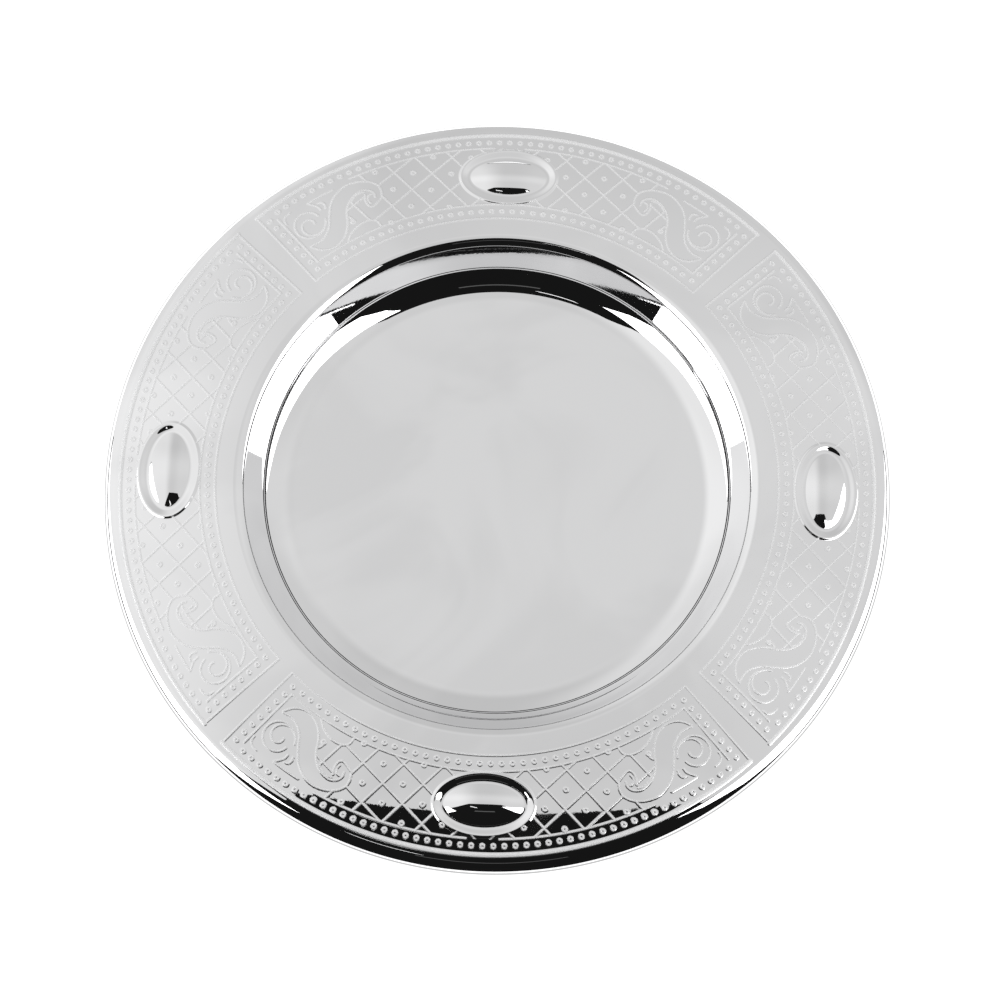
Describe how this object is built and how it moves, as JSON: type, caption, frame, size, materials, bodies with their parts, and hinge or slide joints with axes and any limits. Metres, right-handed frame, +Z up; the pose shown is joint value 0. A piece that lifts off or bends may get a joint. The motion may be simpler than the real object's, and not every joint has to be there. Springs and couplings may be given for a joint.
{
  "type": "offering plate",
  "caption": "Round mirror-plated offering plate: a flat-floored well, a wide sloping rim with embossed panels and oval bosses, and a wired edge.",
  "frame": {"origin": "centre of the flat underside of the well, on the plane that the plate rests on", "axes": "+Z up out of the well along the plate's axis; +X through the middle of one embossed panel and its boss; +Y through the next panel"},
  "size_m": [0.305, 0.305, 0.0191],
  "materials": {
    "silver_plate": "mirror-polished silver-coloured plating",
    "edge_wire": "drawn steel wire"
  },
  "bodies": {
    "root": {"plate_pressing": "silver_plate", "rim_wire": "edge_wire"}
  },
  "joints": []
}
